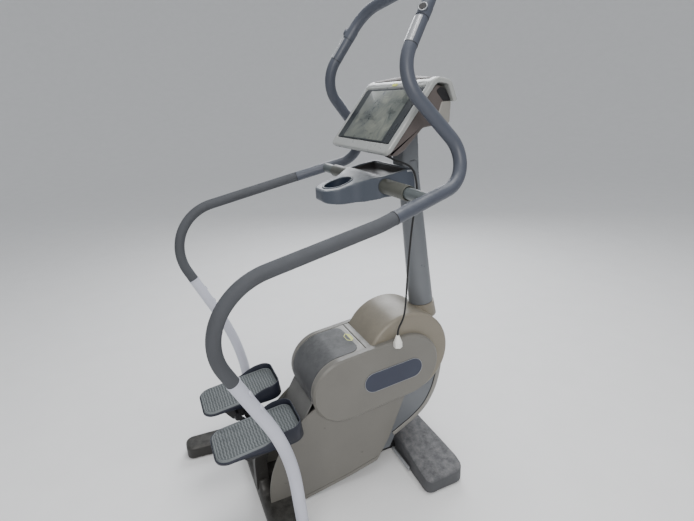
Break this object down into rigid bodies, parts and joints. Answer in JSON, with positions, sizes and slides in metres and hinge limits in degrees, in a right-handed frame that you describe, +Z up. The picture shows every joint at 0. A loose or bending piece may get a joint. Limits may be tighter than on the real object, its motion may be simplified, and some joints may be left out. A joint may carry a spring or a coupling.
{
  "type": "stair climber",
  "caption": "Stair climber with two independent sprung pedals, curved handrails, a tilted console, a cup and book tray and a cased belt drive.",
  "frame": {"origin": "on the floor under the centre of the bounding box, in the plane of symmetry of the casing", "axes": "+X to the user's right, +Y forward from the pedals to the column, +Z up"},
  "size_m": [0.9294, 1.0461, 1.8316],
  "materials": {
    "frame_paint": "black powder coat, satin",
    "foot_rubber": "black rubber",
    "bright_steel": "zinc plated steel",
    "dark_cover": "dark grey moulded plastic, fine grain",
    "panel_plastic": "warm grey moulded plastic, satin",
    "silver_cover": "silver painted plastic",
    "badge": "plain blue-grey badge",
    "overlay": "dark glossy screen and key overlay",
    "console_black": "dark moulded plastic",
    "tray_grey": "grey moulded plastic",
    "cup_dark": "dark blue moulded plastic",
    "rail_paint": "light grey powder coat",
    "rail_foam": "closed cell foam grip",
    "rail_grip": "dark grey-blue rubber grip",
    "sensor_steel": "brushed stainless steel",
    "thumb_black": "black moulded plastic",
    "pedal_navy": "dark blue moulded plastic",
    "tread_rubber": "grey ribbed rubber",
    "belt_rubber": "black ribbed drive belt",
    "cast_wheel": "machined cast iron",
    "alloy": "cast aluminium",
    "cord_black": "black cable sheath",
    "plug_white": "white moulded plastic"
  },
  "bodies": {
    "frame": {"alternator": "alloy", "badges": "badge", "column_shell": "silver_cover", "console_bezel": "silver_cover", "console_glass": "overlay", "console_shell": "console_black", "cord": "cord_black", "cord_gland": "cord_black", "cross_tube": "rail_paint", "cup_liner": "cup_dark", "disc_covers": "silver_cover", "drive_belts": "belt_rubber", "fasteners": "bright_steel", "foot_pads": "foot_rubber", "foot_studs": "bright_steel", "front_foot_covers": "dark_cover", "front_leg_cover": "silver_cover", "front_stabiliser": "frame_paint", "hand_sensors": "sensor_steel", "handrail_arch": "rail_grip", "handrail_foam_left": "rail_foam", "handrail_foam_right": "rail_foam", "handrail_lower_left": "rail_paint", "handrail_lower_right": "rail_paint", "handrail_upper_left": "rail_grip", "handrail_upper_right": "rail_grip", "main_frame": "frame_paint", "mast": "frame_paint", "neck_cover": "dark_cover", "pivot_shaft": "bright_steel", "plug": "plug_white", "rear_cover": "dark_cover", "rear_crossbar_cover": "dark_cover", "rear_hood": "dark_cover", "rear_leg_covers": "dark_cover", "rear_stabiliser": "frame_paint", "return_springs": "bright_steel", "saddle_cover": "silver_cover", "side_cover_left": "panel_plastic", "side_cover_right": "panel_plastic", "side_panel_left": "panel_plastic", "side_panel_right": "panel_plastic", "thumb_housings": "thumb_black", "tray": "tray_grey"},
    "right_arm": {"pedal_arm_right": "frame_paint"},
    "right_pedal": {"pedal_right": "pedal_navy", "tread_right": "tread_rubber", "pedal_carrier_right": "frame_paint"},
    "right_link": {"parallel_link_right": "frame_paint"},
    "right_clutch": {"clutch_pulley_right": "bright_steel"},
    "right_thumb_button": {"thumb_button_right": "thumb_black"},
    "left_arm": {"pedal_arm_left": "frame_paint"},
    "left_pedal": {"pedal_left": "pedal_navy", "tread_left": "tread_rubber", "pedal_carrier_left": "frame_paint"},
    "left_link": {"parallel_link_left": "frame_paint"},
    "left_clutch": {"clutch_pulley_left": "bright_steel"},
    "left_thumb_button": {"thumb_button_left": "thumb_black"},
    "layshaft_body": {"layshaft": "alloy"},
    "flywheel_body": {"flywheel": "cast_wheel"}
  },
  "joints": [
    {"name": "right_arm_swing", "type": "hinge", "parent": "frame", "child": "right_arm", "pos_m": [0.054, -0.016, 0.07], "axis": [1, 0, 0], "range_deg": [0, 36], "stiffness_Nm_per_rad": 20, "springref_deg": -45.84},
    {"name": "right_pedal_level", "type": "hinge", "parent": "right_arm", "child": "right_pedal", "pos_m": [0.054, -0.277, 0.352], "axis": [1, 0, 0], "range_deg": [-36, 0]},
    {"name": "right_link_swing", "type": "hinge", "parent": "frame", "child": "right_link", "pos_m": [0.032, -0.061, 0.08], "axis": [1, 0, 0], "range_deg": [0, 36]},
    {"name": "right_clutch_turn", "type": "hinge", "parent": "frame", "child": "right_clutch", "pos_m": [0.074, 0.1, 0.33], "axis": [1, 0, 0], "range_deg": [0, 90]},
    {"name": "right_thumb_press", "type": "slide", "parent": "frame", "child": "right_thumb_button", "axis": [-0.6145, 0.586, -0.5282], "range_m": [0, 0.0015], "stiffness_N_per_m": 800, "springref_m": -0.001},
    {"name": "left_arm_swing", "type": "hinge", "parent": "frame", "child": "left_arm", "pos_m": [-0.054, -0.016, 0.07], "axis": [1, 0, 0], "range_deg": [0, 36], "stiffness_Nm_per_rad": 20, "springref_deg": -45.84},
    {"name": "left_pedal_level", "type": "hinge", "parent": "left_arm", "child": "left_pedal", "pos_m": [-0.054, -0.277, 0.352], "axis": [1, 0, 0], "range_deg": [-36, 0]},
    {"name": "left_link_swing", "type": "hinge", "parent": "frame", "child": "left_link", "pos_m": [-0.032, -0.061, 0.08], "axis": [1, 0, 0], "range_deg": [0, 36]},
    {"name": "left_clutch_turn", "type": "hinge", "parent": "frame", "child": "left_clutch", "pos_m": [-0.074, 0.1, 0.33], "axis": [1, 0, 0], "range_deg": [0, 90]},
    {"name": "left_thumb_press", "type": "slide", "parent": "frame", "child": "left_thumb_button", "axis": [0.6145, 0.586, -0.5282], "range_m": [0, 0.0015], "stiffness_N_per_m": 800, "springref_m": -0.001},
    {"name": "flywheel_spin", "type": "hinge", "parent": "frame", "child": "flywheel_body", "pos_m": [0, 0.3, 0.495], "axis": [1, 0, 0], "continuous": true},
    {"name": "layshaft_spin", "type": "hinge", "parent": "frame", "child": "layshaft_body", "pos_m": [0, 0.1, 0.33], "axis": [1, 0, 0], "continuous": true}
  ],
  "couplings": [
    {"joint": "right_pedal_level", "follows": "right_arm_swing", "ratio": -1},
    {"joint": "right_link_swing", "follows": "right_arm_swing", "ratio": 1},
    {"joint": "right_clutch_turn", "follows": "right_arm_swing", "ratio": 2.4},
    {"joint": "left_pedal_level", "follows": "left_arm_swing", "ratio": -1},
    {"joint": "left_link_swing", "follows": "left_arm_swing", "ratio": 1},
    {"joint": "left_clutch_turn", "follows": "left_arm_swing", "ratio": 2.4},
    {"joint": "layshaft_spin", "follows": "flywheel_spin", "ratio": 0.225}
  ]
}
